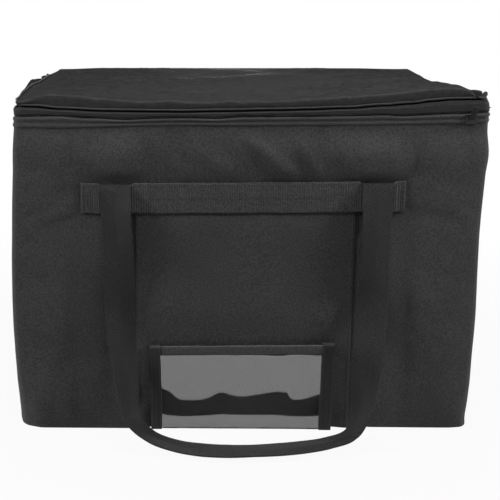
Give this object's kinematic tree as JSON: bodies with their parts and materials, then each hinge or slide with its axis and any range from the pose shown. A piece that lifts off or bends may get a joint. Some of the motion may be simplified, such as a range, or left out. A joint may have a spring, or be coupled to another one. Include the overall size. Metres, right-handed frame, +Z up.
{
  "type": "insulated food carrier",
  "caption": "Collapsible soft-sided insulated food carrier: padded box with zipped lid, webbing handles and clear window pocket; its walls and floor fold flat.",
  "frame": {"origin": "middle of the underside, on the surface that the carrier stands on", "axes": "+X to the carrier's right seen from the front, the front with the window pocket faces -Y, +Z up"},
  "size_m": [0.5716, 0.5436, 0.416],
  "materials": {
    "outer_fabric": "woven",
    "foam": "soft foam",
    "liner": "foil",
    "webbing": "woven",
    "binding": "woven tape",
    "vinyl": "clear",
    "zipper": "moulded",
    "slider": "satin black"
  },
  "bodies": {
    "back_wall": {"back_outer_fabric": "outer_fabric", "back_foam": "foam", "back_liner": "liner", "back_hem": "outer_fabric", "lid_hinge_strip": "outer_fabric", "back_band": "webbing", "back_strap_end_left": "webbing", "back_strap_end_right": "webbing", "bottom_gusset_left": "liner", "bottom_gusset_right": "liner"},
    "left_rear": {"left_rear_outer_fabric": "outer_fabric", "left_rear_foam": "foam", "left_rear_liner": "liner", "left_rear_hem": "outer_fabric"},
    "left_front": {"left_front_outer_fabric": "outer_fabric", "left_front_foam": "foam", "left_front_liner": "liner", "left_front_hem": "outer_fabric"},
    "right_rear": {"right_rear_outer_fabric": "outer_fabric", "right_rear_foam": "foam", "right_rear_liner": "liner", "right_rear_hem": "outer_fabric"},
    "right_front": {"right_front_outer_fabric": "outer_fabric", "right_front_foam": "foam", "right_front_liner": "liner", "right_front_hem": "outer_fabric"},
    "front_wall": {"front_outer_fabric": "outer_fabric", "front_foam": "foam", "front_liner": "liner", "front_hem": "outer_fabric", "front_band": "webbing", "front_strap_end_left": "webbing", "front_strap_end_right": "webbing", "pocket_panel": "outer_fabric", "window_vinyl": "vinyl", "window_binding_left": "binding", "window_binding_right": "binding", "window_binding_top": "binding", "window_bottom_seam": "binding"},
    "floor_rear": {"floor_rear_fabric": "outer_fabric", "floor_rear_foam": "foam", "floor_rear_liner": "liner"},
    "floor_front": {"floor_front_fabric": "outer_fabric", "floor_front_foam": "foam", "floor_front_liner": "liner"},
    "lid": {"lid_outer_fabric": "outer_fabric", "lid_foam": "foam", "lid_liner": "liner", "lid_piping": "binding", "zipper_flap": "outer_fabric", "zipper_coil": "zipper"},
    "front_slider": {"front_slider": "slider"},
    "side_slider": {"side_slider": "slider"},
    "front_pull": {"front_slider_pull": "binding"},
    "side_pull": {"side_slider_pull": "binding"},
    "front_handle": {"front_handle": "webbing"},
    "back_handle": {"back_handle": "webbing"}
  },
  "joints": [
    {"name": "left_rear_fold", "type": "hinge", "parent": "back_wall", "child": "left_rear", "pos_m": [-0.2685, 0.1545, 0], "axis": [0, 0, 1], "range_deg": [0, 87], "deforming": ["bottom_gusset_left", "bottom_gusset_right"]},
    {"name": "left_middle_fold", "type": "hinge", "parent": "left_rear", "child": "left_front", "pos_m": [-0.2795, 0, 0], "axis": [0, 0, 1], "range_deg": [-174, 0]},
    {"name": "front_wall_fold", "type": "hinge", "parent": "left_front", "child": "front_wall", "pos_m": [-0.2685, -0.1545, 0], "axis": [0, 0, 1], "range_deg": [0, 87]},
    {"name": "right_rear_fold", "type": "hinge", "parent": "back_wall", "child": "right_rear", "pos_m": [0.2685, 0.1545, 0], "axis": [0, 0, 1], "range_deg": [-87, 0]},
    {"name": "right_middle_fold", "type": "hinge", "parent": "right_rear", "child": "right_front", "pos_m": [0.2795, 0, 0], "axis": [0, 0, 1], "range_deg": [0, 174]},
    {"name": "floor_rear_fold", "type": "hinge", "parent": "back_wall", "child": "floor_rear", "pos_m": [0, 0.1665, 0.009], "axis": [1, 0, 0], "range_deg": [-87, 0]},
    {"name": "floor_front_fold", "type": "hinge", "parent": "front_wall", "child": "floor_front", "pos_m": [0, -0.1665, 0.009], "axis": [1, 0, 0], "range_deg": [0, 87]},
    {"name": "lid_hinge", "type": "hinge", "parent": "back_wall", "child": "lid", "pos_m": [0, 0.178, 0.416], "axis": [-1, 0, 0], "range_deg": [0, 250]},
    {"name": "front_handle_swing", "type": "hinge", "parent": "front_wall", "child": "front_handle", "pos_m": [0, -0.1818, 0.319], "axis": [-1, 0, 0], "range_deg": [0, 165]},
    {"name": "back_handle_swing", "type": "hinge", "parent": "back_wall", "child": "back_handle", "pos_m": [0, 0.1818, 0.319], "axis": [-1, 0, 0], "range_deg": [-165, 0]},
    {"name": "front_slider_run", "type": "slide", "parent": "lid", "child": "front_slider", "axis": [-1, 0, 0], "range_m": [0, 0.524]},
    {"name": "side_slider_run", "type": "slide", "parent": "lid", "child": "side_slider", "axis": [0, 1, 0], "range_m": [0, 0.3]},
    {"name": "front_pull_swing", "type": "hinge", "parent": "front_slider", "child": "front_pull", "pos_m": [0.262, -0.18495, 0.3961], "axis": [-1, 0, 0], "range_deg": [-142, 18]},
    {"name": "side_pull_swing", "type": "hinge", "parent": "side_slider", "child": "side_pull", "pos_m": [0.28645, -0.15, 0.3961], "axis": [0, -1, 0], "range_deg": [0, 160]}
  ],
  "couplings": [
    {"joint": "left_middle_fold", "follows": "left_rear_fold", "ratio": -2},
    {"joint": "front_wall_fold", "follows": "left_rear_fold", "ratio": 1},
    {"joint": "right_rear_fold", "follows": "left_rear_fold", "ratio": -1},
    {"joint": "right_middle_fold", "follows": "left_rear_fold", "ratio": 2},
    {"joint": "floor_rear_fold", "follows": "left_rear_fold", "ratio": -1},
    {"joint": "floor_front_fold", "follows": "left_rear_fold", "ratio": 1}
  ]
}
